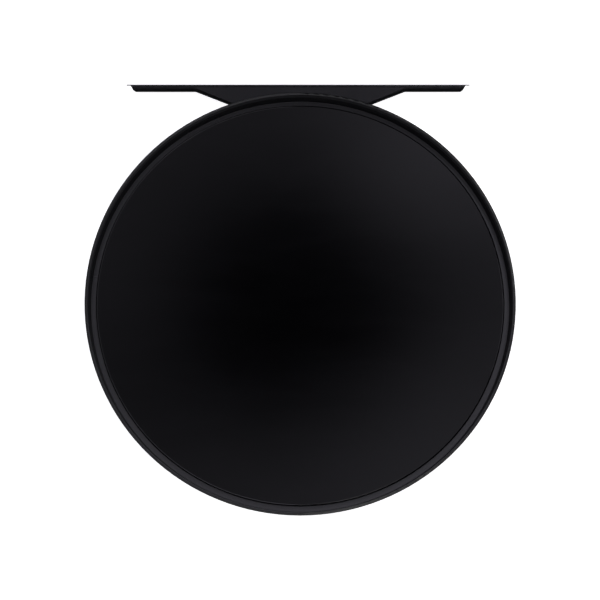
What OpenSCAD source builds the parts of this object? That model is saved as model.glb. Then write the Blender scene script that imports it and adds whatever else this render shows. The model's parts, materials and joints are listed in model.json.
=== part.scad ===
// Round robot vacuum with a lipped floating bumper ring and a plain top lid, standing on its low
// charging dock. +Y is the robot's forward direction, towards the dock and the wall. The origin is
// on the floor, in the middle of the robot and dock together.

/* [Robot body] */
// Outer radius of the bumper ring at its shoulder
ring_r = 175; // [174:0.5:176]
// Height of the whole robot at the top of the ring
robot_h = 76; // [76:0.5:78]
// Radius of the rounded shoulder along the top of the ring
crown_r = 2; // [1.8:0.1:2.2]
// Radius of the top lid
lid_r = 166.5; // [165:0.1:166.6]
// Height of the lid's top face above the floor
lid_top = 66; // [65.5:0.1:66.5]
// Thickness of the lid plate
lid_t = 3; // [2.5:0.1:3]
// Ground clearance under the chassis
belly_z = 9; // [8.8:0.1:9.2]
// Travel of the floating bumper each way
bumper_float = 2; // [1:0.5:2]

/* [Wheels and brushes] */
// Radius of the drive wheels
wheel_r = 26; // [25:0.5:26]
// Width of the drive wheels
wheel_w = 18; // [14:1:18]
// Distance of each drive wheel's middle from the centre plane
wheel_x = 108; // [107:0.5:109]
// Tread bars round each tyre
tread_count = 28; // [12:2:36]
// Radius of the caster wheel
caster_r = 13; // [11:0.5:13]
// Tip radius of the main brush
brush_r = 19; // [16:0.5:19]
// Length of the main brush
brush_l = 156; // [140:2:156]
// Rows of blades on the main brush
brush_rows = 6; // [4:1:8]
// Reach of the side brush from its spindle
side_reach = 58; // [45:1:58]
// Arms on the side brush
side_arms = 3; // [2:1:4]

/* [Dust bin] */
// Outer width of the dust bin
bin_w = 144; // [140:2:144]
// Height of the dust bin's top face
bin_top = 52; // [50:0.5:52]
// Wall thickness of the dust bin
bin_wall = 2; // [1.5:0.1:2.2]

/* [Dock] */
// Width of the dock's back plate
plate_w = 292.4; // [280:1:300]
// Distance that the back plate sits off the robot's centre plane
plate_shift = -1.8; // [-3:0.1:3]
// Thickness of the back plate
plate_t = 1.5; // [1.3:0.1:1.6]
// Height of the back plate
plate_h = 12; // [11.6:0.1:14]
// Distance from the robot's axis to the wall behind the dock
wall_y = 200; // [199:0.5:202]
// Width of the dock's tongue under the robot
tongue_w = 90; // [84:1:92]
// Distance between the two charging contacts
contact_gap = 56; // [54:1:58]

/* [Hidden] */
robot_y = -(wall_y - ring_r) / 2;
fit = 0.05;
press = 0.02;
gap = 0.2;
crown_z = robot_h - crown_r;
crown_mid = ring_r - crown_r;
lip_r = 0.4;
shelf_r = 164.5;
shelf_z = [59.1, 61.2];
window_half = 14;
window_z = [34, 50];
ledge_r = 169.8;
skirt_z = 16;
skirt_bottom_r = 166;
skirt_t = 3;
throat_r = crown_mid - lip_r;
lid_under = lid_top - lid_t;
pad_mid = 128;
pad_top = lid_under - 0.3;
magnet_r = 3.5;
magnet_t = 1.5;
magnet_angles = [70, 110, 250, 290];
dowel_mid = 100;
dowel_r = 2.5;
dowel_angles = [45, 135, 225, 315];
deck_z = 54;
peg_head = 3.4;
key_pad_t = 1;
deck_screw_mid = 112;
deck_top = 57;
floor_top = belly_z + 2.5;
tub_r = 158;
tub_top_r = 163;
tub_corner_z = 17;
tub_t = 2.6;
belly_r = 150;
rib_t = 2;
bay_y = [-77, -31];
bay_top = 44;
vent_angles = [206 : 4 : 230];
vent_z = [28, 46];
vent_w = 1.2;
cliff_at = [[141, 5, 4, 8], [48, 134, 8, 4]];
pad_half = [8, 4.5];
hatch_half = [72, 30];
hatch_y = 52;
board_z = 44;
board_post_xy = [for (x = [-70, 70], y = [22, 80]) [x, y]];
boss_r = 4.5;
carriage_z = deck_top + 0.3;
carriage_t = 1.5;
carriage_in = 146;
carriage_out = ledge_r - 0.9;
peg_r = 2;
peg_mid = 153;
lug_angles = [50, 130, 230, 310];
switch_face = 143.6;
leaf_in = 161.3;
leaf_t = 0.6;
leaf_bow = 2.7;
pivot_y = 38;
pivot_z = 30;
pivot_r = 3;
axle_r = 2.5;
tyre_t = 7;
tread_depth = 1.6;
well_in = 77;
well_out = 120;
well_back = -29;
well_front = 58;
motor_y = 44;
motor_z = 36;
motor_r = 11;
gearbox_x = 83;
gearbox_w = 14.5;
motor_x = [97.5, 118];
axle_x = [82, 116];
hub_w = 14;
spoke_mid = 12;
spring_x = 80;
spring_y = 10;
spring_z = 40;
spring_r = 2.4;
spring_wire = 0.6;
caster_y = 110;
caster_trail = 8;
caster_cup = 23;
caster_pin_r = 1.5;
cheek_in = 6.2;
cheek_t = 2.4;
stem_r = 4;
socket_top = 44;
brush_y = -54;
brush_z = 21;
brush_end = 82;
core_r = 8;
shaft_r = 3;
bush_r = 5;
guard_x = [-40, 0, 40];
guard_t = 2;
blade_gap = 2.5;
drive_x = 86.5;
drive_w = 6;
big_pulley = 8;
small_pulley = 4;
pulley_hole_mid = 5.5;
pin_r = 1.5;
pulley_y = -66;
pulley_z = 36;
belt_t = 1.2;
belt_play = 0.1;
side_x = 92;
side_y = 90;
spindle_r = 2.5;
side_hub_r = 9;
fan_x = -111;
fan_y = -70;
fan_r = 23;
fan_z = 17.6;
fan_top = 46;
bin_front = -80;
bin_floor = 12.3;
bin_half = bin_w / 2;
bin_play = 1.5;
duct_y = [-100, -84];
duct_z = [22, 40];
throat_w = 116;
flap_y = -83.8;
flap_z = 43;
flap_pin_r = 1.2;
latch_w = 30;
latch_z = [36, 44];
tongue_y = 134;
tongue_half = tongue_w / 2;
base_front = wall_y - 3.1;
funnel_half = 89.5;
funnel_slope = 2.49;
end_half = plate_w / 2 - 3;
end_front_in = 4.3;
end_floor_in = 2;
tip_t = 0.6;
tip_h = 1.2;
groove_w = 0.7;
groove_depth = 1.6;
wing_z = plate_h - 0.6;
contact_y = 140.5;
contact_r = 4;
foot_xy = [[30, 150], [50, 190]];
foot_r = 5.9;
foot_t = 1.15;
key_y = 62;
power_r = 9;
reset_x = 36;
reset_r = 5;
key_rim = 5;
jack_x = 27;
jack_half = 6;
jack_in = 186;
jack_floor = 1.2;
jack_z = jack_floor + 4;
screw_r = 1.6;
case_screw_xy = [[72, 120], [-72, 120], [135, 40], [-135, 40], [138, -40], [-138, -40],
                 [90, -112], [-90, -112]];
$fn = 96;

// ---------- helpers ----------

// A box between two x values, two y values and two z values
module block(x, y, z) translate([x[0], y[0], z[0]]) cube([x[1] - x[0], y[1] - y[0], z[1] - z[0]]);

// The x range from a to b on the right, or its mirror image on the left
function sided(s, a, b) = s > 0 ? [a, b] : [-b, -a];

// A box on side s whose plan is [x, y, half width, half depth], grown by an allowance
module cell(s, plan, grow, z) block([s * plan[0] - plan[2] - grow, s * plan[0] + plan[2] + grow],
  [plan[1] - plan[3] - grow, plan[1] + plan[3] + grow], z);

// A cylinder along X that starts at x, in the plane through y and z
module rod_x(x, len, r, y, z) translate([x, y, z]) rotate([0, 90, 0]) cylinder(h = len, r = r);

// A cylinder along Z
module rod_z(x, y, z, r) translate([x, y, z[0]]) cylinder(h = z[1] - z[0], r = r);

// A plate of thickness t along X whose outline wraps two circles in the YZ plane
module link_x(x, t, a, ra, b, rb) {
  d = norm(b - a);
  way = atan2(b[1] - a[1], b[0] - a[0]);
  side = acos((ra - rb) / d);
  p = [for (s = [-1, 1]) a + ra * [cos(way + s * side), sin(way + s * side)],
       for (s = [1, -1]) b + rb * [cos(way + s * side), sin(way + s * side)]];
  translate([x, 0, 0]) rotate([90, 0, 90]) linear_extrude(t) polygon(p);
  rod_x(x, t, ra, a[0], a[1]);
  rod_x(x, t, rb, b[0], b[1]);
}

// A coil spring as one closed body of rings side by side, along Z from the origin
module coil(len, r, wire) {
  turns = floor(len / (2 * wire) * 1.15);
  pitch = (len - 2 * wire) / (turns - 1);
  rotate_extrude($fn = 48) {
    translate([r - 1.4 * wire, wire]) square([wire, len - 2 * wire]);
    for (i = [0 : turns - 1]) translate([r - wire, wire + i * pitch]) circle(wire, $fn = 24);
  }
}

// Radius of the ring's outer face at a height
function skirt_out(z) = skirt_bottom_r + (z - skirt_z) * (ring_r - skirt_bottom_r)
                        / (crown_z - skirt_z);

// ---------- robot: chassis ----------

// The exhaust slots, cut between two radii
module vents(r1, r2)
  for (a = vent_angles) rotate(a) block([r1, r2], [-vent_w, vent_w], vent_z);

module tub_shell() rotate_extrude($fn = 180)
  polygon([[0, belly_z], [belly_r, belly_z], [tub_r, tub_corner_z], [tub_top_r, deck_z],
           [tub_top_r - tub_t, deck_z], [tub_r - tub_t, tub_corner_z + 0.6],
           [belly_r - 1, floor_top], [0, floor_top]]);

module chassis_tub() color("#26272b") {
  difference() {
    union() {
      tub_shell();
      for (s = [-1, 1]) {
        block(sided(s, well_in - rib_t, well_out + rib_t),
              [well_back - rib_t, well_front + rib_t], [belly_z, deck_z]);
        block(sided(s, bin_half + bin_play, bin_half + bin_play + rib_t), [-140, bin_front + 1],
              [belly_z + 1, deck_z]);
      }
      block([-brush_end - rib_t, brush_end + rib_t], bay_y, [belly_z, bay_top]);
      for (p = case_screw_xy) rod_z(p[0], p[1], [belly_z + 1, 22], boss_r);
      for (p = board_post_xy) rod_z(p[0], p[1], [belly_z + 2, board_z - 0.1], 2.2);
    }
    for (s = [-1, 1]) {
      block(sided(s, well_in, well_out), [well_back, well_front], [belly_z - 1, deck_z + 1]);
      rod_x(sided(s, brush_end - 1, brush_end + 3)[0], 4, bush_r, brush_y, brush_z);
      for (c = cliff_at) cell(s, c, 0.1, [belly_z - 1, floor_top + 1]);
      cell(s, [contact_gap / 2, contact_y, each pad_half], 0.1, [belly_z - 1, floor_top + 1]);
    }
    block([-brush_end, brush_end], [bay_y[0] + rib_t, bay_y[1] - rib_t],
          [belly_z - 1, bay_top - rib_t]);
    block([-throat_w / 2 - 2, throat_w / 2 + 2], [bay_y[0] - 1, bay_y[0] + 3], [26, 40]);
    block([-bin_half - bin_play, bin_half + bin_play], [-ring_r - 5, bin_front + 1],
          [floor_top + 0.3, deck_z + 1]);
    block([-bin_half - 4, -bin_half - 1], duct_y, [floor_top, deck_z + 1]);
    rod_z(0, caster_y, [belly_z - 1, floor_top + 1], caster_cup + 2.1);
    rod_z(side_x, side_y, [belly_z - 1, floor_top + 1], 7);
    cell(1, [0, hatch_y, each hatch_half], 0, [belly_z - 1, belly_z + 1.3]);
    cell(1, [0, hatch_y, each hatch_half], -4, [belly_z, floor_top + 1]);
    for (p = case_screw_xy) {
      rod_z(p[0], p[1], [belly_z - 1, belly_z + 2.1], 3.3);
      rod_z(p[0], p[1], [belly_z, 20.5], screw_r + 0.1);
    }
    vents(150, ring_r);
  }
  for (s = [-1, 1])
    rod_x(sided(s, well_in - 1, well_in + 20)[0], 21, pivot_r, pivot_y, pivot_z);
}

module top_deck() color("#1d1e21") difference() {
  union() {
    rod_z(0, 0, [deck_z, deck_top], tub_top_r - 0.5, $fn = 180);
    for (s = [-1, 1]) rod_z(s * peg_mid, 0, [deck_top - 1, deck_top + peg_head], peg_r);
    for (a = [0, 180, each magnet_angles]) rotate(a) rod_z(pad_mid, 0, [deck_top - 1, pad_top], 5);
    rod_z(0, key_y, [deck_top - 1, deck_top + key_pad_t], power_r + key_rim);
    rod_z(reset_x, key_y, [deck_top - 1, deck_top + key_pad_t], reset_r + key_rim);
  }
  rod_z(0, key_y, [deck_z - 1, deck_top + 2], power_r + 0.4);
  rod_z(reset_x, key_y, [deck_z - 1, deck_top + 2], reset_r + 0.4);
  block([-34, 34], [-150, -100], [deck_top - 1.2, deck_top + 1]);
  for (a = [20 : 40 : 340]) rotate(a)
    rod_z(deck_screw_mid, 0, [deck_top - 1.4, deck_top + 1], 3.4);
  for (a = dowel_angles) rotate(a) rod_z(dowel_mid, 0, [deck_z + 1, deck_top + 1], dowel_r + 0.3);
  for (a = magnet_angles) rotate(a) rod_z(pad_mid, 0, [pad_top - magnet_t, pad_top + 1], magnet_r + 0.02);
}

module lid_magnets() color("#9a9ca0")
  for (a = magnet_angles) rotate(a) rod_z(pad_mid, 0, [pad_top - magnet_t, pad_top], magnet_r);

module battery_pack() color("#2f4a6b") difference() {
  block([-67, 67], [27, 77], [belly_z + 1.5, 33]);
  block([-30, 30], [26, 28], [26, 34]);
}

module battery_cover() color("#2a2b2f") difference() {
  cell(1, [0, hatch_y, each hatch_half], -gap, [belly_z, belly_z + 1.2]);
  for (x = [-60, 60]) rod_z(x, hatch_y, [belly_z - 1, belly_z + 0.5], 3);
  for (i = [-4 : 4]) block([i * 9 - 2, i * 9 + 2], [76, 79], [belly_z - 1, belly_z + 0.5]);
}

module main_board() color("#1f5a3a") {
  top = board_z + 1.6;
  block([-73, 73], [18, 84], [board_z, top]);
  block([-24, 10], [26, 48], [top, top + 1.6]);
  block([20, 46], [24, 40], [top, top + 3.4]);
  block([-62, -36], [24, 74], [top, top + 5.4]);
  block([-5, 5], [key_y - 5, key_y + 5], [top, top + 5]);
  block([reset_x - 4, reset_x + 4], [key_y - 4, key_y + 4], [top, top + 5]);
  for (x = [52, 60, 68]) rod_z(x, 66, [top, top + 5.9], 3.2);
}

module case_screws() color("#a6a8ab") for (p = case_screw_xy) difference() {
  union() {
    rod_z(p[0], p[1], [belly_z + 0.2, belly_z + 2], 3, $fn = 48);
    rod_z(p[0], p[1], [belly_z + 1, 20], screw_r, $fn = 32);
  }
  block([p[0] - 1.8, p[0] + 1.8], [p[1] - 0.4, p[1] + 0.4], [belly_z - 1, belly_z + 1]);
  block([p[0] - 0.4, p[0] + 0.4], [p[1] - 1.8, p[1] + 1.8], [belly_z - 1, belly_z + 1]);
}

module cliff_windows() color("#3a1418")
  for (s = [-1, 1], c = cliff_at) cell(s, c, 0, [belly_z, floor_top + 1.5]);

module charging_plates() color("#c8b98c") for (s = [-1, 1])
  cell(s, [contact_gap / 2, contact_y, each pad_half], 0, [belly_z - 0.4, floor_top]);

module bumper_switches() color("#3c3d42") for (a = lug_angles) rotate(a) {
  block([134, switch_face], [-4, 4], [deck_top, deck_top + 4.4]);
  rod_x(switch_face, 3.8, 1, 0, deck_top + 3.2);
}

// Leaf springs: bowed strips whose middles reach out towards the ring
module bumper_springs() color("#8e9094") for (a = [25, 155, 192, 348]) rotate(a)
  translate([leaf_in, 0, 36]) linear_extrude(8)
    polygon([[leaf_t, -14], [leaf_t + leaf_bow, -2], [leaf_t + leaf_bow, 2], [leaf_t, 14], [0, 14],
             [leaf_bow, 1.8], [leaf_bow, -1.8], [0, -14]]);

// ---------- robot: drive ----------

module gearbox(s) color("#33343a") {
  x = sided(s, gearbox_x, gearbox_x + gearbox_w)[0];
  difference() {
    union() {
      link_x(x, gearbox_w, [0, wheel_r], 15, [motor_y, motor_z], 13);
      block(sided(s, spring_x - 2, gearbox_x + 1), [spring_y - 4, spring_y],
            [spring_z - 3, spring_z + 3]);
    }
    rod_x(x - 1, gearbox_w + 2, pivot_r + fit, pivot_y, pivot_z);
    rod_x(x - 1, gearbox_w + 2, axle_r + fit, 0, wheel_r);
  }
}

module wheel_motor(s) color("#8b8d92")
  difference() {
    rod_x(sided(s, motor_x[0], motor_x[1])[0], motor_x[1] - motor_x[0], motor_r, motor_y, motor_z);
    block([s * motor_x[1] - 1.5, s * motor_x[1] + 1.5], [motor_y - 2, motor_y + 2],
          [motor_z - motor_r - 1, motor_z - motor_r + 3]);
  }

module wheel_axle(s) color("#b9bbbe")
  rod_x(sided(s, axle_x[0], axle_x[1])[0], axle_x[1] - axle_x[0], axle_r, 0, wheel_r);

module wheel_hub(s) color("#45464b") difference() {
  rod_x(s * wheel_x - hub_w / 2, hub_w, wheel_r - tyre_t - press, 0, wheel_r);
  rod_x(s * wheel_x - hub_w / 2 - 1, hub_w + 2, axle_r + press, 0, wheel_r);
  for (a = [0 : 60 : 300])
    rod_x(s * wheel_x + sided(s, 2, 12)[0], 10, 4, spoke_mid * cos(a), wheel_r + spoke_mid * sin(a));
}

module wheel_tyre(s) color("#18181a") translate([s * wheel_x, 0, wheel_r]) rotate([0, 90, 0])
  difference() {
    cylinder(h = wheel_w, r = wheel_r, center = true);
    cylinder(h = wheel_w + 2, r = wheel_r - tyre_t, center = true);
    for (i = [0 : tread_count - 1]) rotate((i + 0.5) * 360 / tread_count)
      translate([wheel_r - tread_depth, -1, -wheel_w]) cube([4, 2, 2 * wheel_w]);
    for (z = [-1, 1]) translate([0, 0, z * wheel_w / 6]) difference() {
      cylinder(h = 1.6, r = wheel_r + 1, center = true);
      cylinder(h = 3, r = wheel_r - tread_depth, center = true);
    }
  }

module wheel_spring(s) color("#b9bbbe")
  translate([s * spring_x, spring_y + gap, spring_z]) rotate([-90, 0, 0])
    coil(well_front - spring_y - 2 * gap, spring_r, spring_wire);

module caster_socket() color("#2a2b2f") {
  difference() {
    union() {
      rod_z(0, caster_y, [belly_z - 0.8, belly_z], caster_cup + 5);
      rod_z(0, caster_y, [belly_z - 0.8, 34.5], caster_cup + 2);
      rod_z(0, caster_y, [34, socket_top], 2 * stem_r);
    }
    rod_z(0, caster_y, [belly_z - 2, 32], caster_cup);
    rod_z(0, caster_y, [31, 45], stem_r + fit);
  }
}

module caster_fork() color("#3b3c41") difference() {
  union() {
    rod_z(0, caster_y, [27.5, 30], 20);
    rod_z(0, caster_y, [29, socket_top - 0.5], stem_r);
    for (s = [-1, 1]) {
      cheek = sided(s, cheek_in, cheek_in + cheek_t);
      link_x(cheek[0], cheek_t, [caster_y - caster_trail, caster_r], 4, [caster_y - 4, 24], 6);
      block(cheek, [caster_y - 9, caster_y + 6], [24, 28]);
    }
  }
  rod_x(-10, 20, caster_pin_r + press, caster_y - caster_trail, caster_r);
}

module caster_axle() color("#b9bbbe")
  rod_x(-cheek_in - cheek_t, 2 * (cheek_in + cheek_t), caster_pin_r, caster_y - caster_trail,
        caster_r);

module caster_wheel() color("#202124") translate([0, caster_y - caster_trail, caster_r])
  rotate([90, 0, 90]) rotate_extrude() difference() {
    polygon([[0, -5.6], [4, -5.6], [5, -5], [caster_r - 1, -5], [caster_r, -4], [caster_r, 4],
             [caster_r - 1, 5], [5, 5], [4, 5.6], [0, 5.6]]);
    translate([-1, -7]) square([1 + caster_pin_r + fit, 14]);
  }

// ---------- robot: cleaning ----------

module brush_bushes() color("#b8924a") for (s = [-1, 1]) difference() {
  rod_x(sided(s, brush_end - 0.4, brush_end + rib_t)[0], rib_t + 0.4, bush_r - press, brush_y,
        brush_z);
  rod_x(s * brush_end - 4, 8, shaft_r + fit, brush_y, brush_z);
}

module brush_core() color("#5a5c62") {
  rod_x(-brush_l / 2, brush_l, core_r, brush_y, brush_z);
  rod_x(-brush_end - 1.8, brush_end + 1.8 + drive_x + drive_w + 1, shaft_r, brush_y, brush_z);
}

module brush_blades() color("#7b2f2a") {
  half = brush_l / 2 - 1;
  cuts = [-half, for (x = guard_x, s = [-1, 1]) x + s * blade_gap, half];
  translate([0, brush_y, brush_z]) rotate([90, 0, 90]) difference() {
    for (i = [0 : brush_rows - 1], k = [0 : 2 : 6]) rotate((i + 0.5) * 360 / brush_rows)
      translate([core_r - 1, -1, cuts[k]]) cube([brush_r - core_r + 0.9, 2, cuts[k + 1] - cuts[k]]);
    cylinder(h = brush_l + 10, r = core_r + 0.03, center = true);
  }
}

module brush_pulley() color("#c9c5ba") difference() {
  rod_x(drive_x, drive_w, big_pulley, brush_y, brush_z);
  rod_x(drive_x - 1, drive_w + 2, shaft_r + press, brush_y, brush_z);
  for (a = [0 : 90 : 270])
    rod_x(drive_x - 1, drive_w + 2, 1.2, brush_y + pulley_hole_mid * cos(a),
          brush_z + pulley_hole_mid * sin(a));
}

module motor_pulley() color("#c9c5ba") {
  rod_x(drive_x, drive_w, small_pulley, pulley_y, pulley_z);
  rod_x(drive_x, 17, pin_r, pulley_y, pulley_z);
}

module drive_belt() color("#17171a") {
  near = [brush_y, brush_z];
  far = [pulley_y, pulley_z];
  difference() {
    link_x(drive_x + 1, drive_w - 2, near, big_pulley + belt_play + belt_t, far,
           small_pulley + belt_play + belt_t);
    link_x(drive_x, drive_w, near, big_pulley + belt_play, far, small_pulley + belt_play);
  }
}

module brush_motor() color("#8b8d92") difference() {
  union() {
    rod_x(100, 28, 13, pulley_y, pulley_z);
    rod_x(97, 3, 5, pulley_y, pulley_z);
  }
  rod_x(96, 9, pin_r + fit, pulley_y, pulley_z);
}

module brush_guard() color("#303136") difference() {
  union() {
    difference() {
      block([-84, 84], [bay_y[0] - 1, bay_y[1] + 1], [belly_z - guard_t, belly_z]);
      block([-79, 79], [bay_y[0] + 3.5, bay_y[1] - 3.5], [belly_z - guard_t - 1, belly_z + 1]);
    }
    for (x = guard_x) block([x - blade_gap / 2, x + blade_gap / 2], [bay_y[0] + 1, bay_y[1] - 1],
                            [belly_z - guard_t, belly_z]);
  }
  for (x = [-70, 70])
    rod_z(x, bay_y[1] - 1.3, [belly_z - guard_t - 1, belly_z - guard_t / 2], 1.6, $fn = 32);
}

module fan_housing() color("#34353a") difference() {
  union() {
    rod_z(fan_x, fan_y, [fan_z, fan_top], fan_r);
    block([-97, -bin_half - 3.6], [-93, -81], [duct_z[0] - 2, duct_z[1] + 2]);
  }
  rod_z(fan_x, fan_y, [fan_z + 2, fan_top - 2], fan_r - 2);
  block([-104, -bin_half], [-91, -83], duct_z);
  block([-150, -112], [-92, -76], [30, 42]);
}

module fan_motor() color("#8b8d92") difference() {
  rod_z(fan_x, fan_y, [fan_z + 2, fan_z + 10.5], 12);
  rod_z(fan_x, fan_y, [fan_z + 5, fan_z + 12], pin_r + fit);
}

module fan_impeller() color("#d0d1d3") {
  disc_z = fan_z + 11.5;
  rod_z(fan_x, fan_y, [disc_z, disc_z + 1.6], 18);
  rod_z(fan_x, fan_y, [disc_z, disc_z + 12], 5);
  rod_z(fan_x, fan_y, [disc_z - 5, disc_z + 1], pin_r);
  for (a = [0 : 45 : 315]) translate([fan_x, fan_y, disc_z + 1]) rotate(a)
    translate([4, -0.6, 0]) cube([13.6, 1.2, 10]);
}

module side_brush_motor() color("#8b8d92") difference() {
  rod_z(side_x, side_y, [floor_top, 38], 13);
  rod_z(side_x, side_y, [floor_top - 1, 22], spindle_r + fit);
}

module side_brush_hub() color("#33343a") difference() {
  union() {
    rod_z(side_x, side_y, [4, belly_z - gap], side_hub_r);
    rod_z(side_x, side_y, [belly_z - 1, 21], spindle_r);
  }
  rod_z(side_x, side_y, [3, 5.4], 3.4);
  rod_z(side_x, side_y, [3, 14], 1.02);
}

module side_brush_screw() color("#a6a8ab") difference() {
  union() {
    rod_z(side_x, side_y, [4.2, 5.4], 3);
    rod_z(side_x, side_y, [5, 13.8], 1);
  }
  block([side_x - 1.8, side_x + 1.8], [side_y - 0.4, side_y + 0.4], [3, 4.8]);
}

module side_bristles() color("#b9bab8") for (i = [0 : side_arms - 1])
  translate([side_x, side_y, 6.4]) rotate(104.4 + i * 360 / side_arms) rotate([0, 94, 0])
    translate([0, 0, side_hub_r + gap])
      cylinder(h = side_reach - side_hub_r - gap, r1 = 1.8, r2 = 0.8, $fn = 32);

// ---------- robot: dust bin ----------

// The bin's plan shape between two heights, drawn in by an inset, with a rear that follows the ring
module bin_form(z, inset, rear_inset) intersection() {
  block([-bin_half + inset, bin_half - inset], [-180, bin_front - inset], z);
  translate([0, 0, z[0]]) cylinder(h = z[1] - z[0], r1 = skirt_out(z[0]) - 0.3 - rear_inset,
                                   r2 = skirt_out(z[1]) - 0.3 - rear_inset, $fn = 180);
}

module bin_tub() color("#3d3f45") difference() {
  union() {
    difference() {
      bin_form([bin_floor, bin_top - 2], 0, 0);
      bin_form([bin_floor + bin_wall, bin_top - 1], bin_wall, 3.5);
    }
    for (s = [-1, 1]) block(s > 0 ? [57.3, 59.6] : [-59.6, -57.3],
                            [flap_y - 2, bin_front - 1], [flap_z - 2.5, flap_z + 2.5]);
  }
  rod_x(-62, 124, flap_pin_r + fit, flap_y, flap_z);
  block([-throat_w / 2, throat_w / 2], [bin_front - 4, bin_front + 1], [27, 41]);
  block([-bin_half - 1, -bin_half + 4], duct_y, duct_z);
  block([-latch_w / 2 - 0.3, latch_w / 2 + 0.3], [-180, -155], [latch_z[0] - 0.3, latch_z[1] + 0.3]);
}

module bin_lid() color("#2c2d32") difference() {
  bin_form([bin_top - 2, bin_top], 0, 0);
  for (i = [-3 : 3]) block([i * 16 - 1, i * 16 + 1], [-130, -95], [bin_top - 0.6, bin_top + 1]);
}

module bin_filter() color("#d9d6cc") for (i = [0 : 9])
  block([-bin_half + bin_wall, -bin_half + 12], [-104 + 2.2 * i, -102.6 + 2.2 * i], [20, 42]);

module bin_flap() color("#55575d") {
  block([-57, 57], [flap_y - 0.7, flap_y + 0.7], [26.2, flap_z - 1]);
  rod_x(-59.4, 118.8, flap_pin_r, flap_y, flap_z);
}

module bin_latch() color("#4a4c52") {
  block([-latch_w / 2, latch_w / 2], [-168.4, -161], latch_z);
  block([-latch_w / 2 - 2, latch_w / 2 + 2], [-162, -159.6], [latch_z[0] - 1.5, latch_z[1] + 1.5]);
}

// ---------- robot: lid, bumper, buttons ----------

module top_lid() color("#1b1b1f") {
  edge = 1.2;
  rotate_extrude($fn = 240) {
    translate([lid_r - edge, lid_top - edge]) circle(edge, $fn = 32);
    translate([0, lid_under]) square([lid_r, lid_t - edge]);
    translate([0, lid_under]) square([lid_r - edge, lid_t]);
  }
  for (a = dowel_angles) rotate(a) rod_z(dowel_mid, 0, [deck_z + 1.5, lid_under + 1], dowel_r);
}

// The ring's section: a leaning skirt, a round shoulder outside, a tight lip inside and a shelf
// that reaches in over the carriage
module ring_skirt() rotate_extrude($fn = 240) {
  polygon([[skirt_bottom_r, skirt_z], [ring_r, crown_z], [crown_mid, crown_z + 1],
           [throat_r, crown_z], [throat_r, crown_z - 6], [ledge_r + 1, shelf_z[1]],
           [shelf_r, shelf_z[1]], [shelf_r, shelf_z[0]], [ledge_r, shelf_z[0]], [166, 48],
           [skirt_bottom_r - skirt_t, skirt_z]]);
  intersection() {
    translate([crown_mid, crown_z]) circle(crown_r, $fn = 96);
    translate([crown_mid - 0.01, crown_z]) square(2 * crown_r);
  }
  translate([crown_mid, robot_h - lip_r]) circle(lip_r, $fn = 32);
  translate([throat_r, crown_z - 0.1]) square([lip_r, robot_h - lip_r - crown_z + 0.1]);
}

module bumper_ring() color("#202126") difference() {
  union() {
    ring_skirt();
    for (a = lug_angles) rotate(a) {
      block([151, shelf_r + 2], [-10, 10], [shelf_z[0] + gap, shelf_z[1] - gap]);
      rod_z(peg_mid, 0, [deck_top + 0.5, 60], peg_r);
    }
  }
  block([-bin_half - 2.5, bin_half + 2.5], [-180, -100], [skirt_z - 1, bin_top + 2.5]);
  rotate(90 - window_half) translate([0, 0, window_z[0] - 0.1]) rotate_extrude(angle = 2 * window_half)
    square([180, window_z[1] - window_z[0] + 0.2]);
  vents(155, ring_r + 5);
}

module bumper_window() color("#14100f") rotate(90.05 - window_half)
  rotate_extrude(angle = 2 * window_half - 0.1, $fn = 240)
    polygon([for (z = window_z) [skirt_out(z) - 0.3, z], for (z = [window_z[1], window_z[0]])
             [skirt_out(z) - 2.6, z]]);

module bumper_carriage() color("#6a6c72") difference() {
  intersection_for(s = [-1, 1]) rod_z(s * (bumper_float + 0.1), 0,
    [carriage_z, carriage_z + carriage_t], carriage_out, $fn = 180);
  rod_z(0, 0, [carriage_z - 1, carriage_z + carriage_t + 1], carriage_in, $fn = 180);
  for (s = [-1, 1]) cell(1, [s * peg_mid, 0, peg_r, peg_r + bumper_float], 0.3,
                         [carriage_z - 1, carriage_z + carriage_t + 1]);
  for (a = lug_angles)
    cell(1, [peg_mid * cos(a), peg_mid * sin(a), peg_r + bumper_float, peg_r], 0.3,
         [carriage_z - 1, carriage_z + carriage_t + 1]);
}

module push_button(x, r) color("#8f9196") {
  rod_z(x, key_y, [deck_z - 1, deck_top + 2.8], r);
  rod_z(x, key_y, [deck_z - 2, deck_z - 0.3], r + 1.4);
}

// ---------- dock ----------

module dock_plan() {
  meet_y = base_front - (funnel_half - tongue_half) / funnel_slope;
  half = [[0, tongue_y], [tongue_half - 7, tongue_y], [tongue_half, tongue_y + 7],
          [tongue_half, meet_y], [funnel_half, base_front], [funnel_half, wall_y - plate_t],
          [0, wall_y - plate_t]];
  for (s = [0, 1]) mirror([s, 0]) polygon(half);
}

module dock_slope() translate([-100, 0, 0]) rotate([90, 0, 90]) linear_extrude(200)
  polygon([[tongue_y - 1, 0], [tongue_y - 1, 4.3], [150, 6.5], [base_front, plate_h - 0.1],
           [wall_y, plate_h - 0.1], [wall_y, 0]]);

// The space between the dock's two ends, which draw in towards the front and towards the floor
module between_ends() translate([plate_shift, wall_y, 0]) intersection() {
  linear_extrude(plate_h)
    polygon([[-end_half + end_front_in, base_front - wall_y], [end_half - end_front_in, base_front - wall_y],
             [end_half, 0], [-end_half, 0]]);
  rotate([90, 0, 0]) linear_extrude(wall_y - base_front)
    polygon([[-end_half + end_floor_in, 0], [end_half - end_floor_in, 0], [end_half, plate_h],
             [-end_half, plate_h]]);
}

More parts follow.
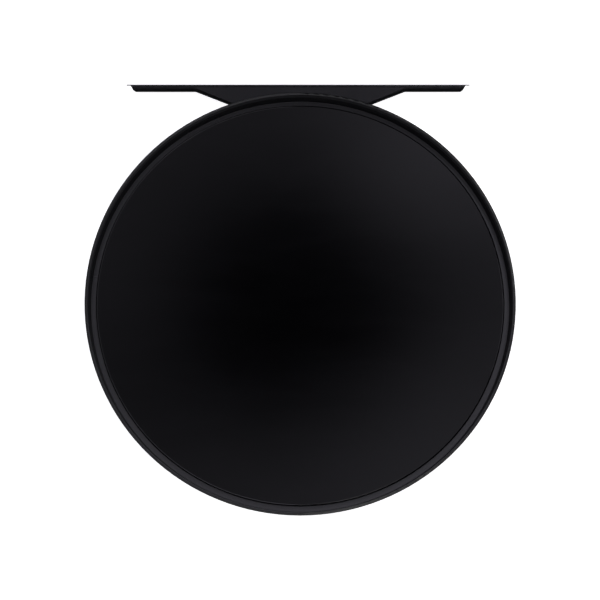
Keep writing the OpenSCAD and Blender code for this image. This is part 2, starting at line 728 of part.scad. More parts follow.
module dock_base() color("#222327") difference() {
  union() {
    intersection() {
      linear_extrude(plate_h) dock_plan();
      dock_slope();
    }
    intersection() {
      between_ends();
      block([-plate_w, plate_w], [base_front, wall_y - plate_t], [0, wing_z]);
    }
  }
  block([-plate_w, plate_w], [wall_y - plate_t - groove_w, wall_y],
        [wing_z - groove_depth, plate_h + 1]);
  for (s = [-1, 1]) {
    rod_z(s * contact_gap / 2, contact_y, [1.6, 20], contact_r + 0.1);
    for (p = foot_xy) rod_z(s * p[0], p[1], [-1, foot_t + 0.05], foot_r + 0.1);
  }
  block([jack_x - jack_half - 0.1, jack_x + jack_half + 0.1], [jack_in, wall_y],
        [jack_floor - 0.1, jack_floor + 8.1]);
}

module dock_back_plate() color("#2b2c31") difference() {
  union() {
    intersection() {
      between_ends();
      block([-plate_w, plate_w], [wall_y - plate_t, wall_y], [0, plate_h]);
    }
    translate([plate_shift, 0, 0])
      block([-plate_w / 2, plate_w / 2], [wall_y - tip_t, wall_y], [plate_h - tip_h, plate_h]);
  }
  translate([jack_x, wall_y - 5, jack_z]) rotate([-90, 0, 0]) cylinder(h = 10, r = 3.6);
}

module dock_feet() color("#141416") for (s = [-1, 1], p = foot_xy)
  rod_z(s * p[0], p[1], [0, foot_t], foot_r);

module dock_jack() color("#101012") difference() {
  union() {
    block([jack_x - jack_half, jack_x + jack_half], [jack_in + 0.1, wall_y - plate_t - fit],
          [jack_floor, jack_floor + 8]);
    translate([jack_x, wall_y - 4, jack_z]) rotate([-90, 0, 0]) cylinder(h = 4, r = 3.5);
  }
  difference() {
    translate([jack_x, wall_y - 10, jack_z]) rotate([-90, 0, 0]) cylinder(h = 11, r = 2.75);
    translate([jack_x, wall_y - 11, jack_z]) rotate([-90, 0, 0]) cylinder(h = 9.5, r = 1);
  }
}

module dock_contact(s) color("#c8b98c") {
  x = s * contact_gap / 2;
  rod_z(x, contact_y, [3.4, 7.9], contact_r);
  translate([x, contact_y, 7.9]) cylinder(h = 0.6, r1 = contact_r, r2 = contact_r - 0.8);
}

// ---------- everything in its place ----------

module placed() translate([0, robot_y, 0]) children();

placed() chassis_tub();
placed() top_deck();
placed() battery_pack();
placed() battery_cover();
placed() main_board();
placed() brush_motor();
placed() drive_belt();
placed() brush_bushes();
placed() brush_guard();
placed() fan_housing();
placed() fan_motor();
placed() side_brush_motor();
placed() cliff_windows();
placed() charging_plates();
placed() caster_socket();
placed() case_screws();
placed() lid_magnets();
placed() bumper_switches();
placed() bumper_springs();
placed() wheel_spring(-1);  // left_wheel_spring
placed() wheel_spring(1);  // right_wheel_spring
placed() gearbox(-1);  // left_gearbox
placed() wheel_motor(-1);  // left_wheel_motor
placed() wheel_axle(-1);  // left_axle
placed() wheel_hub(-1);  // left_hub
placed() wheel_tyre(-1);  // left_tyre
placed() gearbox(1);  // right_gearbox
placed() wheel_motor(1);  // right_wheel_motor
placed() wheel_axle(1);  // right_axle
placed() wheel_hub(1);  // right_hub
placed() wheel_tyre(1);  // right_tyre
placed() caster_fork();
placed() caster_axle();
placed() caster_wheel();
placed() brush_core();
placed() brush_blades();
placed() brush_pulley();
placed() motor_pulley();
placed() side_brush_hub();
placed() side_bristles();
placed() side_brush_screw();
placed() fan_impeller();
placed() bin_tub();
placed() bin_lid();
placed() bin_filter();
placed() bin_flap();
placed() bin_latch();
placed() top_lid();
placed() bumper_ring();
placed() bumper_window();
placed() bumper_carriage();
placed() push_button(0, power_r);  // power_button
placed() push_button(reset_x, reset_r);  // reset_button
placed() dock_base();
placed() dock_back_plate();
placed() dock_feet();
placed() dock_jack();
placed() dock_contact(-1);  // left_dock_contact
placed() dock_contact(1);  // right_dock_contact
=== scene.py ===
"""Robot vacuum on its low charging dock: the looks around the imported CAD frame. Metres, +Y to the dock."""

import json
import math
import random

import bpy
import bmesh
from mathutils import Matrix, Vector


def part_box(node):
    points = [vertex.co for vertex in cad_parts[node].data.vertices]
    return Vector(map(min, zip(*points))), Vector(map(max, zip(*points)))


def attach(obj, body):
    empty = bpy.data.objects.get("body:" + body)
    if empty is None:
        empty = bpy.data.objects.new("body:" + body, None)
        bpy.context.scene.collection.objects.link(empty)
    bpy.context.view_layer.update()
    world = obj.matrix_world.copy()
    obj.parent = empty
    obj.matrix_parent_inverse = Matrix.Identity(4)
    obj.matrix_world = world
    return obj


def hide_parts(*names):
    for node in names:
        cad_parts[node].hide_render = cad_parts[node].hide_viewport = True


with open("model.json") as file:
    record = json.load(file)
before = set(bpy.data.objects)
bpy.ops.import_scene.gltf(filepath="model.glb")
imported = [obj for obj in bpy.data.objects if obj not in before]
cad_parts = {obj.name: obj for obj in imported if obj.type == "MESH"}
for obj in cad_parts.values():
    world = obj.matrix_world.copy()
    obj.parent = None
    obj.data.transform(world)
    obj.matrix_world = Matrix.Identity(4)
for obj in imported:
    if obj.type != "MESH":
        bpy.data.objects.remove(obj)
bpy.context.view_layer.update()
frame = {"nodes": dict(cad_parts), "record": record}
NODES = frame["nodes"]
MM = 0.001
random.seed(7)


# ---------- places taken from the frame ----------

ring_lo, ring_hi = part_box("bumper_ring")
AXIS = Vector(((ring_lo.x + ring_hi.x) / 2, (ring_lo.y + ring_hi.y) / 2, 0))
BEAD_Z = ring_hi.z - 2.5 * MM


# ---------- camera ----------

def make_camera():
    """Close to the photograph's view: straight along the dock's middle, 78.7 degrees up, a long lens."""
    distance, elevation = 2.0, math.radians(78.667)
    cam = bpy.data.cameras.new("camera")
    cam.lens = 147.87
    cam.sensor_width = 36
    cam.shift_x = -0.000275
    cam.shift_y = 0.00095
    cam.clip_start, cam.clip_end = 0.05, 60
    obj = bpy.data.objects.new("camera", cam)
    bpy.context.scene.collection.objects.link(obj)
    target = AXIS + Vector((0, 0, BEAD_Z))
    back = Vector((0, -math.cos(elevation), math.sin(elevation)))
    obj.location = target + distance * back
    obj.rotation_euler = (-back).to_track_quat("-Z", "Y").to_euler()
    bpy.context.scene.camera = obj


# ---------- node graphs ----------

class Graph:
    """A short way to write a material's nodes. Positions are the object's own, in millimetres."""

    def __init__(self, name):
        self.mat = bpy.data.materials.new(name)
        self.mat.use_nodes = True
        self.tree = self.mat.node_tree
        self.tree.nodes.clear()
        self.out = self.add("ShaderNodeOutputMaterial")
        coords = self.add("ShaderNodeTexCoord")
        self.place = self.add("ShaderNodeVectorMath", operation="SCALE")
        self.place.inputs["Scale"].default_value = 1 / MM
        self.wire(coords.outputs["Object"], self.place.inputs[0])

    def add(self, kind, **settings):
        node = self.tree.nodes.new(kind)
        for key, value in settings.items():
            setattr(node, key, value)
        return node

    def wire(self, source, target):
        self.tree.links.new(source, target)

    def noise(self, size_mm, detail=2.0, stretch=None, distortion=0.0):
        """Noise whose features are about size_mm across."""
        tex = self.add("ShaderNodeTexNoise")
        tex.inputs["Scale"].default_value = 1 / size_mm
        tex.inputs["Detail"].default_value = detail
        tex.inputs["Distortion"].default_value = distortion
        vector = self.place.outputs[0]
        if stretch:
            mapping = self.add("ShaderNodeMapping")
            mapping.inputs["Scale"].default_value = stretch
            self.wire(vector, mapping.inputs["Vector"])
            vector = mapping.outputs[0]
        self.wire(vector, tex.inputs["Vector"])
        return tex.outputs["Fac"]

    def span(self, value, low, high, out_low, out_high):
        """value, from low..high to out_low..out_high, clamped."""
        node = self.add("ShaderNodeMapRange")
        for key, number in (("From Min", low), ("From Max", high), ("To Min", out_low), ("To Max", out_high)):
            node.inputs[key].default_value = number
        self.wire(value, node.inputs["Value"])
        return node.outputs["Result"]

    def math(self, operation, a, b):
        node = self.add("ShaderNodeMath", operation=operation, use_clamp=operation == "MULTIPLY")
        for socket, value in ((node.inputs[0], a), (node.inputs[1], b)):
            if isinstance(value, (int, float)):
                socket.default_value = value
            else:
                self.wire(value, socket)
        return node.outputs[0]

    def blend(self, factor, a, b):
        """Colour a where factor is 0 and b where it is 1."""
        node = self.add("ShaderNodeMix", data_type="RGBA")
        self.wire(factor, node.inputs["Factor"])
        for socket, value in ((node.inputs["A"], a), (node.inputs["B"], b)):
            if isinstance(value, tuple):
                socket.default_value = (*value, 1)
            else:
                self.wire(value, socket)
        return node.outputs["Result"]

    def edges(self, radius_mm):
        """(rounded normal, 0..1 factor that is high along sharp edges)"""
        bevel = self.add("ShaderNodeBevel", samples=6)
        bevel.inputs["Radius"].default_value = radius_mm * MM
        geometry = self.add("ShaderNodeNewGeometry")
        dot = self.add("ShaderNodeVectorMath", operation="DOT_PRODUCT")
        self.wire(bevel.outputs["Normal"], dot.inputs[0])
        self.wire(geometry.outputs["Normal"], dot.inputs[1])
        return bevel.outputs["Normal"], self.span(dot.outputs["Value"], 0.98, 0.8, 0, 1)

    def bump(self, height, depth_mm, normal=None):
        node = self.add("ShaderNodeBump")
        node.inputs["Distance"].default_value = depth_mm * MM
        node.inputs["Strength"].default_value = 1.0
        self.wire(height, node.inputs["Height"])
        if normal is not None:
            self.wire(normal, node.inputs["Normal"])
        return node.outputs["Normal"]

    def surface(self, colour, roughness, normal, **constants):
        shader = self.add("ShaderNodeBsdfPrincipled")
        self.wire(colour, shader.inputs["Base Color"])
        self.wire(roughness, shader.inputs["Roughness"])
        self.wire(normal, shader.inputs["Normal"])
        for key, value in constants.items():
            shader.inputs[key.replace("_", " ")].default_value = value
        self.wire(shader.outputs[0], self.out.inputs["Surface"])
        return self.mat


def moulded(name, colour, roughness, grain_mm=0.35, grain_depth=0.012, worn=None, edge_mm=0.35, **constants):
    """Injection-moulded plastic: fine spark grain, uneven gloss, faint handling marks and rubbed edges."""
    g = Graph(name)
    rounded, edge = g.edges(edge_mm)
    worn = worn or tuple(min(1, 2.2 * c + 0.012) for c in colour)
    cloud = g.noise(38, 3)
    smear = g.noise(6, 4, stretch=(1, 0.25, 1))
    rub = g.math("MULTIPLY", edge, g.span(g.noise(2.2, 4), 0.42, 0.7, 0, 0.55))
    base = g.blend(g.span(cloud, 0.3, 0.7, 0, 1), colour, tuple(1.18 * c + 0.0008 for c in colour))
    base = g.blend(rub, base, worn)
    gloss = g.math("ADD", g.span(cloud, 0.3, 0.7, roughness - 0.03, roughness + 0.04),
                   g.span(smear, 0.35, 0.75, -0.02, 0.05))
    gloss = g.math("ADD", gloss, g.math("MULTIPLY", rub, 0.12))
    fine = g.bump(g.noise(grain_mm, 2), grain_depth, rounded)
    return g.surface(base, gloss, fine, **constants)


def ring_plastic():
    """The bumper ring: near black above 60 mm, painted shade for the deep groove that also darkens the
    shoulder, and a greyer, coarser skirt lower down.
    """
    g = Graph("ring_black")
    rounded, edge = g.edges(0.3)
    split = g.add("ShaderNodeSeparateXYZ")
    g.wire(g.place.outputs[0], split.inputs[0])
    skirt = g.span(split.outputs["Z"], 48, 60, 1, 0)
    cloud = g.noise(38, 3)
    rub = g.math("MULTIPLY", g.math("MULTIPLY", edge, skirt), g.span(g.noise(2.2, 4), 0.42, 0.7, 0, 0.5))
    # painted shade: the colour is near black above 60 mm, where the groove lies, and greyer on the skirt
    # below 48 mm
    base = g.blend(skirt, (0.006, 0.006, 0.0068), (0.024, 0.0245, 0.027))
    base = g.blend(g.math("MULTIPLY", g.span(cloud, 0.3, 0.7, 0, 0.5), skirt), base, (0.03, 0.0305, 0.033))
    base = g.blend(rub, base, (0.07, 0.07, 0.074))
    gloss = g.math("ADD", g.span(cloud, 0.3, 0.7, 0.27, 0.34), g.math("MULTIPLY", skirt, 0.14))
    fine = g.bump(g.math("MULTIPLY", g.noise(0.35, 2), skirt), 0.014, rounded)
    return g.surface(base, gloss, fine)


def satin_lid():
    """The lid's smooth panel: deep black, very slightly orange-peeled, with faint wipe marks in its gloss."""
    g = Graph("lid_black")
    rounded, _ = g.edges(0.3)
    wipe = g.noise(22, 4, stretch=(0.25, 1, 1), distortion=0.6)
    cloud = g.noise(60, 2)
    base = g.blend(g.span(cloud, 0.35, 0.65, 0, 1), (0.0005, 0.0005, 0.0007), (0.0008, 0.0008, 0.0011))
    gloss = g.math("ADD", g.span(wipe, 0.3, 0.7, 0.085, 0.105), g.span(g.noise(0.5, 3), 0.3, 0.8, 0, 0.01))
    peel = g.bump(g.noise(1.6, 1), 0.0004, rounded)
    return g.surface(base, gloss, peel, IOR=1.46)


def soft_rubber(name, colour, roughness=0.72, grain_mm=0.6):
    """Rubber: matt, slightly dusty in patches, with a soft sheen."""
    g = Graph(name)
    rounded, edge = g.edges(0.4)
    dust = g.span(g.noise(9, 5), 0.5, 0.78, 0, 0.5)
    base = g.blend(dust, colour, tuple(0.6 * c + 0.035 for c in colour))
    base = g.blend(g.math("MULTIPLY", edge, g.span(g.noise(1.4, 3), 0.4, 0.7, 0, 0.4)), base,
                   tuple(2 * c + 0.02 for c in colour))
    gloss = g.span(g.noise(4, 4), 0.3, 0.7, roughness - 0.07, roughness + 0.1)
    return g.surface(base, gloss, g.bump(g.noise(grain_mm, 3), 0.03, rounded), Sheen_Weight=0.08)


def metal(name, colour, roughness, brush=(1, 1, 14), brush_mm=0.25, tarnish=(0.32, 0.3, 0.27)):
    """Metal with fine drawn lines along one direction, uneven polish and a little tarnish."""
    g = Graph(name)
    rounded, _ = g.edges(0.2)
    lines = g.noise(brush_mm, 3, stretch=brush)
    patch = g.span(g.noise(5, 4), 0.5, 0.8, 0, 0.35)
    base = g.blend(patch, colour, tarnish)
    gloss = g.math("ADD", g.span(lines, 0.3, 0.7, roughness - 0.06, roughness + 0.08),
                   g.math("MULTIPLY", patch, 0.25))
    return g.surface(base, gloss, g.bump(lines, 0.006, rounded), Metallic=1.0)


def make_materials():
    black = (0.028, 0.0285, 0.031)
    m = {
        "lid_black": satin_lid(),
        "ring_black": ring_plastic(),
        "shell_black": moulded("shell_black", black, 0.46),
        "inner_grey": moulded("inner_grey", (0.062, 0.064, 0.07), 0.5, 0.4, 0.02),
        "window_dark": moulded("window_dark", (0.004, 0.0018, 0.0022), 0.08, 3, 0.001, edge_mm=0.2,
                               Coat_Weight=0.6),
        "dock_black": moulded("dock_black", (0.006, 0.006, 0.007), 0.34, 0.35, 0.01, Specular_IOR_Level=0.22),
        "plate_black": moulded("plate_black", (0.012, 0.012, 0.0135), 0.24, 0.4, 0.004),
        "brush_body": moulded("brush_body", (0.06, 0.062, 0.068), 0.4),
        "bin_smoke": moulded("bin_smoke", (0.03, 0.031, 0.035), 0.2, 1.2, 0.002, Coat_Weight=0.4),
        "key_grey": moulded("key_grey", (0.16, 0.163, 0.17), 0.42, 0.3, 0.01),
        "pulley": moulded("pulley", (0.55, 0.53, 0.48), 0.4, 0.5, 0.006),
        "board": moulded("board", (0.012, 0.09, 0.045), 0.32, 0.9, 0.01),
        "battery": moulded("battery", (0.02, 0.06, 0.12), 0.3, 5, 0.05),
        "bristle": soft_rubber("bristle", (0.42, 0.42, 0.4), 0.5, 0.3),
        "blade": soft_rubber("blade", (0.22, 0.03, 0.022), 0.55, 0.5),
        "rubber": soft_rubber("rubber", (0.03, 0.03, 0.031)),
        "tyre": soft_rubber("tyre", (0.03, 0.03, 0.031), 0.8, 0.8),
        "filter": soft_rubber("filter", (0.7, 0.68, 0.62), 0.9, 0.25),
        "steel": metal("steel", (0.62, 0.63, 0.65), 0.26),
        "motor_steel": metal("motor_steel", (0.46, 0.47, 0.49), 0.34, brush=(14, 1, 1)),
        "brass": metal("brass", (0.72, 0.52, 0.25), 0.34, tarnish=(0.34, 0.22, 0.1)),
        "contact": metal("contact", (0.83, 0.74, 0.52), 0.16, brush=(1, 10, 1), tarnish=(0.4, 0.34, 0.24)),
    }
    return m


def dress_cad(materials):
    """Gives every CAD node the material of its slot."""
    for part in frame["record"]["subparts"]:
        obj = NODES[part["node"]]
        obj.data.materials.clear()
        obj.data.materials.append(materials[part["material_slot"]])


# ---------- pieces made here ----------

def at(x, y, z):
    """A place on the robot, in millimetres from its axis and the floor."""
    return AXIS + MM * Vector((x, y, z))


def skin(bm, rings):
    """A closed skin over rings of points, with a face over each end."""
    loops = [[bm.verts.new(point) for point in ring] for ring in rings]
    count = len(loops[0])
    for low, high in zip(loops, loops[1:]):
        for i in range(count):
            j = (i + 1) % count
            bm.faces.new((low[i], low[j], high[j], high[i]))
    bm.faces.new(list(reversed(loops[0])))
    bm.faces.new(loops[-1])


def tube(bm, points, radii, sides=6):
    """A round rod along points, whose radius in metres follows radii."""
    rings = []
    up = None
    for i, (point, radius) in enumerate(zip(points, radii)):
        ahead = (points[min(i + 1, len(points) - 1)] - points[max(i - 1, 0)]).normalized()
        up = ahead.orthogonal().normalized() if up is None else (up - up.dot(ahead) * ahead).normalized()
        side = ahead.cross(up)
        turns = [math.tau * k / sides for k in range(sides)]
        rings.append([point + radius * (math.cos(t) * up + math.sin(t) * side) for t in turns])
    skin(bm, rings)


def piece(name, bm, body, slot, *stands_for):
    """Makes the mesh an object that rides on a body, in a slot's material."""
    mesh = bpy.data.meshes.new(name)
    bm.to_mesh(mesh)
    bm.free()
    for face in mesh.polygons:
        face.use_smooth = len(face.vertices) == 4
    mesh.materials.append(MATERIALS[slot])
    obj = bpy.data.objects.new(name, mesh)
    bpy.context.scene.collection.objects.link(obj)
    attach(obj, body)
    if stands_for:
        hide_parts(*stands_for)


def side_brush_arms():
    """Three fanned bundles of nylon bristles that droop to the floor, each out of a moulded socket."""
    low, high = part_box("side_brush_hub")
    hub = (low + high) / 2
    arms, strands, steps = 3, 40, 7
    socket_in, socket_out, reach = 7.0, 14.0, 57.5
    root_r, root_z, tip_z = 9, 6.4, 2.0
    first_angle, widest_fan = 104.4, 1.7
    bristles, sockets = bmesh.new(), bmesh.new()

    def place(angle, r, z):
        return Vector((hub.x + MM * r * math.cos(angle), hub.y + MM * r * math.sin(angle), MM * z))

    for arm in range(arms):
        middle = math.radians(first_angle + 360 * arm / arms)
        for _ in range(strands):
            fan = max(-widest_fan, min(widest_fan, random.gauss(0, 0.8)))
            lift = random.uniform(-0.7, 0.7)
            length = reach - random.uniform(0, 3) - abs(fan)
            points = []
            for k in range(steps):
                t = k / (steps - 1)
                angle = middle + fan * (0.012 + 0.06 * t * t)
                points.append(place(angle, root_r + (length - root_r) * t,
                                    root_z + lift * (1 + 0.6 * t) - (root_z - tip_z) * t ** 1.4))
            tube(bristles, points, [MM * (0.24 - 0.08 * k / (steps - 1)) for k in range(steps)], 5)
        profile = ((socket_in, 1.6), (9.5, 2.1), (12.5, 2.1), (13.6, 1.9), (socket_out, 1.5))
        tube(sockets, [place(middle, r, root_z) for r, _ in profile],
             [MM * radius for _, radius in profile], 20)
    piece("side_brush_bristles", bristles, "side_brush", "bristle", "side_bristles")
    piece("side_brush_sockets", sockets, "side_brush", "brush_body")


def main_brush_rows():
    """Swept rubber vanes and rows of bristle tufts in turn, broken where the guard's bars cross."""
    low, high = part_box("brush_core")
    blade_low, blade_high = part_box("brush_blades")
    hub_y, hub_z = (low.y + high.y) / 2, (low.z + high.z) / 2
    half = (blade_high.x - blade_low.x) / 2 / MM
    bars, bar_gap, rows, sweep = (-40, 0, 40), 2.5, 6, 34
    root_r, mid_r, tip_r = 7.4, 13, 18.8
    along, outward = 8, 6
    tuft_pitch, strands = 4.3, 10
    starts = [-half] + [bar + bar_gap for bar in bars]
    ends = [bar - bar_gap for bar in bars] + [half]

    def place(row, x, r, lean):
        angle = math.radians((row + 0.5) * 360 / rows + sweep * abs(x) / half) + lean
        return Vector((MM * x, hub_y + MM * r * math.cos(angle), hub_z + MM * r * math.sin(angle)))

    vanes, tufts = bmesh.new(), bmesh.new()
    for start, end in zip(starts, ends):
        for row in range(0, rows, 2):
            rings = []
            for k in range(along + 1):
                x = start + (end - start) * k / along
                heights = [root_r + (tip_r - root_r) * j / outward for j in range(outward + 1)]
                widths = [1.5 - 0.8 * j / outward - (0.25 if j == outward else 0) for j in range(outward + 1)]
                curls = [0.16 * (j / outward) ** 2 for j in range(outward + 1)]
                up = [place(row, x, r, c - w / r) for r, w, c in zip(heights, widths, curls)]
                down = [place(row, x, r, c + w / r) for r, w, c in zip(heights, widths, curls)]
                rings.append(up + down[::-1])
            skin(vanes, rings)
        count = round((end - start) / tuft_pitch)
        for row in range(1, rows, 2):
            for i in range(count):
                middle = start + (end - start) * (i + 0.5) / count
                for _ in range(strands):
                    x_in = middle + random.uniform(-0.8, 0.8)
                    x_out = min(end, max(start, x_in + random.uniform(-1.2, 1.2)))
                    lean_in, lean_out = random.uniform(-0.1, 0.1), random.uniform(-0.09, 0.09)
                    tip = tip_r - random.uniform(0, 0.7)
                    points = [place(row, x_in, root_r, lean_in),
                              place(row, (x_in + x_out) / 2, mid_r, lean_in / 2),
                              place(row, x_out, tip, lean_out)]
                    tube(tufts, points, [0.17 * MM, 0.15 * MM, 0.11 * MM], 4)
    piece("main_brush_vanes", vanes, "main_brush", "blade", "brush_blades")
    piece("main_brush_tufts", tufts, "main_brush", "bristle")


def wheel_springs():
    """Each suspension spring as a real helix with closed ends."""
    for side in ("left", "right"):
        node = side + "_wheel_spring"
        low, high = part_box(node)
        wire = 0.5 * MM
        radius = (high.x - low.x) / 2 - wire
        length = high.y - low.y - 2 * wire
        turns, steps = 17, 20
        points = []
        for k in range(turns * steps + 1):
            t = k / (turns * steps)
            along = low.y + wire + length * (0.94 * t + 0.03 * (smooth(0.02, 0.1, t) + smooth(0.9, 0.98, t)))
            angle = math.tau * k / steps
            points.append(Vector(((low.x + high.x) / 2 + radius * math.cos(angle), along,
                                  (low.z + high.z) / 2 + radius * math.sin(angle))))
        bm = bmesh.new()
        tube(bm, points, [wire] * len(points), 8)
        piece(node + "_coil", bm, "chassis", "steel", node)


def bin_filter_pleats():
    """The filter's folded paper, in a zigzag along the bin's wall."""
    low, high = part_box("bin_filter")
    paper, folds = 0.25 * MM, 15
    front, back = low.x + 0.8 * MM, high.x - 0.4 * MM
    path = []
    for k in range(2 * folds + 1):
        y = low.y + paper + (high.y - low.y - 2 * paper) * k / (2 * folds)
        path.append((front if k % 2 else back, y))
    outline = [(x + paper, y + paper) for x, y in path] + [(x - paper, y - paper) for x, y in reversed(path)]
    bm = bmesh.new()
    skin(bm, [[Vector((x, y, z)) for x, y in outline] for z in (low.z, high.z)])
    piece("bin_filter_pleats", bm, "dust_bin", "filter", "bin_filter")


def deck_screws():
    """Nine pan-head screws with cross recesses in the deck's pockets, under the lid."""
    bm = bmesh.new()
    mid, seat, sides = 112, 55.7, 32
    profile = ((2.9, 0), (2.95, 0.5), (2.75, 0.85), (2.35, 1.05), (1.9, 1.12))
    arm, slot_half, recess = 1.4, 0.36, 0.75
    corners = [(arm, slot_half), (slot_half, slot_half), (slot_half, arm)]
    for angle in range(20, 360, 40):
        turn = Matrix.Rotation(math.radians(angle), 3, "Z")
        spin = random.uniform(0, math.pi / 2)
        centre = at(0, 0, seat) + turn @ Vector((mid * MM, 0, 0))
        loops = []
        for r, z in profile:
            loops.append([bm.verts.new(centre + MM * Vector((r * math.cos(math.tau * k / sides),
                                                             r * math.sin(math.tau * k / sides), z)))
                          for k in range(sides)])
        for inner, outer in zip(loops, loops[1:]):
            for i in range(sides):
                j = (i + 1) % sides
                bm.faces.new((inner[i], inner[j], outer[j], outer[i]))
        bm.faces.new(list(reversed(loops[0])))
        cross = []
        for quarter in range(4):
            q = Matrix.Rotation(spin + quarter * math.pi / 2, 3, "Z")
            cross += [q @ Vector((x, y, 0)) for x, y in corners]
        top = [bm.verts.new(centre + MM * (c + Vector((0, 0, profile[-1][1])))) for c in cross]
        floor = [bm.verts.new(centre + MM * (c + Vector((0, 0, profile[-1][1] - recess)))) for c in cross]
        rim = [bm.edges.get((loops[-1][i], loops[-1][(i + 1) % sides])) for i in range(sides)]
        rim += [bm.edges.new((top[i], top[(i + 1) % len(top)])) for i in range(len(top))]
        bmesh.ops.triangle_fill(bm, edges=rim, use_beauty=True, normal=(0, 0, 1))
        for i in range(len(top)):
            j = (i + 1) % len(top)
            bm.faces.new((top[i], top[j], floor[j], floor[i]))
        bm.faces.new(floor)
    bmesh.ops.recalc_face_normals(bm, faces=bm.faces)
    piece("deck_screws", bm, "chassis", "steel")


def ramp_ribs():
    """Low rounded ribs across the dock's ramp, where the robot's caster climbs on."""
    bm = bmesh.new()
    ribs, first_y, pitch = 4, 147, 4
    half, height, width, sunk = 34, 0.7, 0.9, 0.4
    slope_low, slope_high = (133, 4.3), (150, 6.5)
    rise = (slope_high[1] - slope_low[1]) / (slope_high[0] - slope_low[0])
    upper_rise = 0.115
    for k in range(ribs):
        y = first_y + pitch * k
        z = slope_high[1] + (y - slope_high[0]) * (rise if y < slope_high[0] else upper_rise)
        rings = []
        for x, share in ((-half, 0.15), (-half + 0.5, 0.7), (-half + 1.5, 1),
                         (half - 1.5, 1), (half - 0.5, 0.7), (half, 0.15)):
            ring = [at(x, y - width, z - sunk), at(x, y + width, z - sunk)]
            for i in range(7):
                t = math.pi * i / 6
                ring.append(at(x, y + width * math.cos(t), z + share * height * math.sin(t)))
            rings.append(ring)
        skin(bm, rings)
    piece("dock_ramp_ribs", bm, "dock", "dock_black")


# ---------- stage ----------

def emitter(name, strength, colour=(1, 1, 1)):
    mat = bpy.data.materials.new(name)
    mat.use_nodes = True
    tree = mat.node_tree
    tree.nodes.clear()
    out = tree.nodes.new("ShaderNodeOutputMaterial")
    glow = tree.nodes.new("ShaderNodeEmission")
    glow.inputs["Color"].default_value = (*colour, 1)
    glow.inputs["Strength"].default_value = strength
    tree.links.new(glow.outputs[0], out.inputs["Surface"])
    return mat, tree, glow, out


def make_floor():
    """A plain pale floor that is seen from above only, so that the underside can be looked at."""
    below_feet = 0.0002
    mesh = bpy.data.meshes.new("floor")
    bm = bmesh.new()
    bmesh.ops.create_circle(bm, cap_ends=True, radius=9, segments=96)
    bm.to_mesh(mesh)
    bm.free()
    floor = bpy.data.objects.new("floor", mesh)
    bpy.context.scene.collection.objects.link(floor)
    floor.location.z = -below_feet
    mat, tree, glow, out = emitter("floor", 0.86)
    paint = tree.nodes.new("ShaderNodeBsdfDiffuse")
    paint.inputs["Color"].default_value = (0.85, 0.85, 0.85, 1)
    both = tree.nodes.new("ShaderNodeAddShader")
    tree.links.new(glow.outputs[0], both.inputs[0])
    tree.links.new(paint.outputs[0], both.inputs[1])
    clear = tree.nodes.new("ShaderNodeBsdfTransparent")
    side = tree.nodes.new("ShaderNodeNewGeometry")
    pick = tree.nodes.new("ShaderNodeMixShader")
    tree.links.new(side.outputs["Backfacing"], pick.inputs["Fac"])
    tree.links.new(both.outputs[0], pick.inputs[1])
    tree.links.new(clear.outputs[0], pick.inputs[2])
    tree.links.new(pick.outputs[0], out.inputs["Surface"])
    mesh.materials.append(mat)
    floor.visible_glossy = False


def smooth(low, high, value):
    t = min(1, max(0, (value - low) / (high - low)))
    return t * t * (3 - 2 * t)


def hump(angle, middle, width):
    """1 at the middle angle, falling off over width degrees."""
    away = (angle - middle + 180) % 360 - 180
    return math.exp(-(away / width) ** 2)


def glow_sheet(name, rows, strength, colour):
    """A light made of rows of points, each (place, strength); it lights and mirrors but isn't seen."""
    mesh = bpy.data.meshes.new(name)
    bm = bmesh.new()
    level = bm.verts.layers.float.new("level")
    grid = []
    for row in rows:
        grid.append([])
        for place, value in row:
            vert = bm.verts.new(place)
            vert[level] = value
            grid[-1].append(vert)
    for low, high in zip(grid, grid[1:]):
        for i in range(len(low)):
            j = (i + 1) % len(low)
            bm.faces.new((low[i], low[j], high[j], high[i]))
    bm.to_mesh(mesh)
    bm.free()
    sheet = bpy.data.objects.new(name, mesh)
    bpy.context.scene.collection.objects.link(sheet)
    mat, tree, glow, out = emitter(name, 1, colour)
    reader = tree.nodes.new("ShaderNodeAttribute")
    reader.attribute_name = "level"
    gain = tree.nodes.new("ShaderNodeMath")
    gain.operation = "MULTIPLY"
    gain.inputs[1].default_value = strength
    tree.links.new(reader.outputs["Fac"], gain.inputs[0])
    tree.links.new(gain.outputs[0], glow.inputs["Strength"])
    mesh.materials.append(mat)
    sheet.visible_camera = False


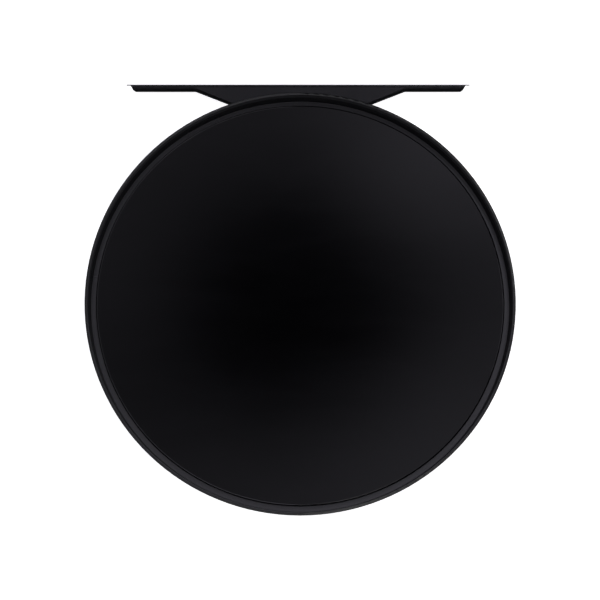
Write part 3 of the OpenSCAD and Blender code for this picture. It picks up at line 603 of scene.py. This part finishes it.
def make_canopy():
    """A big soft light overhead with a dark middle, which the lid mirrors as its dark centre."""
    height, steps = 2.6, 120
    rings, inner_r, ring_step = 25, 0.08, 0.045
    middle = Vector((0, 0.49, height))
    rows = []
    for ring in range(rings):
        r = inner_r + ring_step * ring
        row = []
        for i in range(steps):
            angle = 360 * i / steps
            level = 0.2 + 0.32 * hump(angle, 50, 28) + 0.2 * hump(angle, -50, 42)
            level -= 0.08 * hump(angle, 210, 25)
            level *= smooth(0.1, 0.38, r)
            rim = 0.8 + 2.6 * hump(angle, 40, 32) + 1.6 * hump(angle, -90, 60) + 1.0 * hump(angle, 130, 25)
            level += rim * smooth(0.45, 0.8, r)
            turn = math.radians(angle)
            row.append((middle + r * Vector((math.cos(turn), math.sin(turn), 0)), level))
        rows.append(row)
    glow_sheet("canopy", rows, 1.0, (1, 0.97, 1.12))


def make_tent():
    """A low wall of soft light all round, for the rim to mirror."""
    far, steps = 2.2, 96
    rows = []
    for z, share in ((0.1, 0), (0.3, 0.6), (0.6, 1), (1.2, 1), (1.6, 0.5), (1.9, 0)):
        row = []
        for i in range(steps):
            angle = 360 * i / steps
            level = 0.5 + 1.2 * hump(angle, 45, 35) + 0.5 * hump(angle, 125, 25) + 0.9 * hump(angle, 265, 60)
            turn = math.radians(angle)
            row.append((AXIS + Vector((far * math.cos(turn), far * math.sin(turn), z)), level * share))
        rows.append(row)
    glow_sheet("tent", rows, 1.0, (1, 1, 1.03))


def soft_light(name, place, aim, size, power):
    data = bpy.data.lights.new(name, "AREA")
    data.shape = "RECTANGLE"
    data.size, data.size_y = size
    data.energy = power
    light = bpy.data.objects.new(name, data)
    light.location = place
    light.rotation_euler = (Vector(aim) - Vector(place)).to_track_quat("-Z", "Y").to_euler()
    bpy.context.scene.collection.objects.link(light)


def make_lights():
    world = bpy.data.worlds.new("world")
    bpy.context.scene.world = world
    world.use_nodes = True
    world.node_tree.nodes["Background"].inputs["Color"].default_value = (1, 1, 1, 1)
    world.node_tree.nodes["Background"].inputs["Strength"].default_value = 1.0
    world.cycles_visibility.glossy = False
    world.cycles_visibility.diffuse = False
    centre = (AXIS.x, AXIS.y, 0.04)
    soft_light("key", (1.6, -1.9, 2.6), centre, (1.4, 1.0), 14)


make_camera()
make_floor()
make_canopy()
make_tent()
make_lights()
MATERIALS = make_materials()
dress_cad(MATERIALS)
side_brush_arms()
main_brush_rows()
wheel_springs()
bin_filter_pleats()
deck_screws()
ramp_ribs()

bpy.context.scene.view_settings.view_transform = "Standard"
